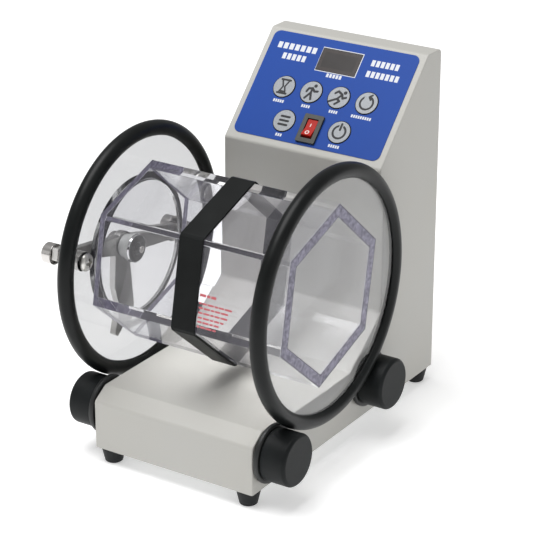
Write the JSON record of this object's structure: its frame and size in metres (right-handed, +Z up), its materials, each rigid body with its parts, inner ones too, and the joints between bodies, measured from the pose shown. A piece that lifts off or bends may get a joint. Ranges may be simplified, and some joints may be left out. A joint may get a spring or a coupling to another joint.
{
  "type": "rotary rock tumbler",
  "caption": "Bench rotary tumbler: a clear hexagonal barrel with rubber-rimmed end discs rests on powered rollers before an upright sloped control housing.",
  "frame": {"origin": "middle of the footprint, on the bench", "axes": "+Z up, +Y towards the back of the housing, +X to the right along the barrel when facing the controls"},
  "size_m": [0.1914, 0.248, 0.246],
  "materials": {
    "powder_coat": "satin",
    "zinc_sheet": "satin",
    "screw_steel": "satin",
    "foot_rubber": "matte",
    "overlay_print": "satin",
    "display_tint": "gloss",
    "black_plastic": "matte",
    "board_green": "satin",
    "bezel_black": "satin",
    "rocker_red": "gloss",
    "button_silver": "satin",
    "motor_metal": "satin",
    "pulley_alloy": "satin",
    "belt_rubber": "matte",
    "bush_bronze": "satin",
    "hub_nylon": "satin",
    "tyre_rubber": "satin",
    "clear_acrylic": "clear",
    "rim_rubber": "satin",
    "band_rubber": "matte",
    "gasket_silicone": "satin",
    "stainless": "satin",
    "collar_nylon": "satin",
    "bar_alloy": "satin"
  },
  "bodies": {
    "base": {"housing_shell": "powder_coat", "base_plate": "zinc_sheet", "rear_cover": "powder_coat", "base_screws": "screw_steel", "rear_cover_screws": "screw_steel", "foot_front_left": "foot_rubber", "foot_front_right": "foot_rubber", "foot_rear_left": "foot_rubber", "foot_rear_right": "foot_rubber", "foot_screws": "screw_steel", "control_overlay": "overlay_print", "display_window": "display_tint", "display_module": "black_plastic", "control_board": "board_green", "board_pillars": "screw_steel", "key_switches": "black_plastic", "switch_bezel": "bezel_black", "power_inlet": "black_plastic", "power_supply": "board_green", "gear_motor": "motor_metal", "motor_bracket": "zinc_sheet", "motor_screws": "screw_steel", "drive_belt": "belt_rubber", "shaft_bushes": "bush_bronze"},
    "barrel": {"barrel_tube": "clear_acrylic", "end_disc_left": "clear_acrylic", "end_disc_right": "clear_acrylic", "rim_left": "rim_rubber", "rim_right": "rim_rubber", "grip_band": "band_rubber", "lid": "clear_acrylic", "lid_gasket": "gasket_silicone", "lock_posts": "stainless", "post_screws": "screw_steel", "lid_stud": "stainless", "pressure_collar": "collar_nylon", "stud_nut": "stainless"},
    "front_rollers": {"front_shaft": "motor_metal", "roller_hub_front_left": "hub_nylon", "roller_hub_front_right": "hub_nylon", "roller_tyre_front_left": "tyre_rubber", "roller_tyre_front_right": "tyre_rubber"},
    "rear_rollers": {"rear_shaft": "motor_metal", "drive_pulley": "pulley_alloy", "roller_hub_rear_left": "hub_nylon", "roller_hub_rear_right": "hub_nylon", "roller_tyre_rear_left": "tyre_rubber", "roller_tyre_rear_right": "tyre_rubber"},
    "motor_output": {"motor_shaft": "motor_metal", "motor_pulley": "pulley_alloy"},
    "lock": {"lock_bar": "bar_alloy"},
    "rocker": {"power_rocker": "rocker_red"},
    "button_timer": {"button_timer": "button_silver"},
    "button_slow": {"button_slow": "button_silver"},
    "button_fast": {"button_fast": "button_silver"},
    "button_direction": {"button_direction": "button_silver"},
    "button_set": {"button_set": "button_silver"},
    "button_start": {"button_start": "button_silver"}
  },
  "joints": [
    {"name": "barrel_spin", "type": "hinge", "parent": "base", "child": "barrel", "pos_m": [0.0085, -0.03653, 0.12401], "axis": [1, 0, 0], "continuous": true},
    {"name": "front_roller_spin", "type": "hinge", "parent": "base", "child": "front_rollers", "pos_m": [0.0107, -0.09237, 0.0345], "axis": [1, 0, 0], "continuous": true},
    {"name": "rear_roller_spin", "type": "hinge", "parent": "base", "child": "rear_rollers", "pos_m": [0.0107, 0.02663, 0.0395], "axis": [1, 0, 0], "continuous": true},
    {"name": "motor_spin", "type": "hinge", "parent": "base", "child": "motor_output", "pos_m": [0.0407, 0.08363, 0.06], "axis": [1, 0, 0], "continuous": true},
    {"name": "lock_bar_turn", "type": "hinge", "parent": "barrel", "child": "lock", "pos_m": [-0.0824, -0.03653, 0.12401], "axis": [1, 0, 0], "range_deg": [-60, 0]},
    {"name": "power_rocker_tilt", "type": "hinge", "parent": "base", "child": "rocker", "pos_m": [0.0107, 0.05542, 0.19488], "axis": [1, 0, 0], "range_deg": [0, 20]},
    {"name": "button_timer_press", "type": "slide", "parent": "base", "child": "button_timer", "axis": [0, 0.7213, -0.6927], "range_m": [0, 0.0008], "stiffness_N_per_m": 600},
    {"name": "button_slow_press", "type": "slide", "parent": "base", "child": "button_slow", "axis": [0, 0.7213, -0.6927], "range_m": [0, 0.0008], "stiffness_N_per_m": 600},
    {"name": "button_fast_press", "type": "slide", "parent": "base", "child": "button_fast", "axis": [0, 0.7213, -0.6927], "range_m": [0, 0.0008], "stiffness_N_per_m": 600},
    {"name": "button_direction_press", "type": "slide", "parent": "base", "child": "button_direction", "axis": [0, 0.7213, -0.6927], "range_m": [0, 0.0008], "stiffness_N_per_m": 600},
    {"name": "button_set_press", "type": "slide", "parent": "base", "child": "button_set", "axis": [0, 0.7213, -0.6927], "range_m": [0, 0.0008], "stiffness_N_per_m": 600},
    {"name": "button_start_press", "type": "slide", "parent": "base", "child": "button_start", "axis": [0, 0.7213, -0.6927], "range_m": [0, 0.0008], "stiffness_N_per_m": 600}
  ],
  "couplings": [
    {"joint": "front_roller_spin", "follows": "barrel_spin", "ratio": -4.9435},
    {"joint": "rear_roller_spin", "follows": "barrel_spin", "ratio": -4.9435},
    {"joint": "motor_spin", "follows": "barrel_spin", "ratio": -4.9435}
  ]
}
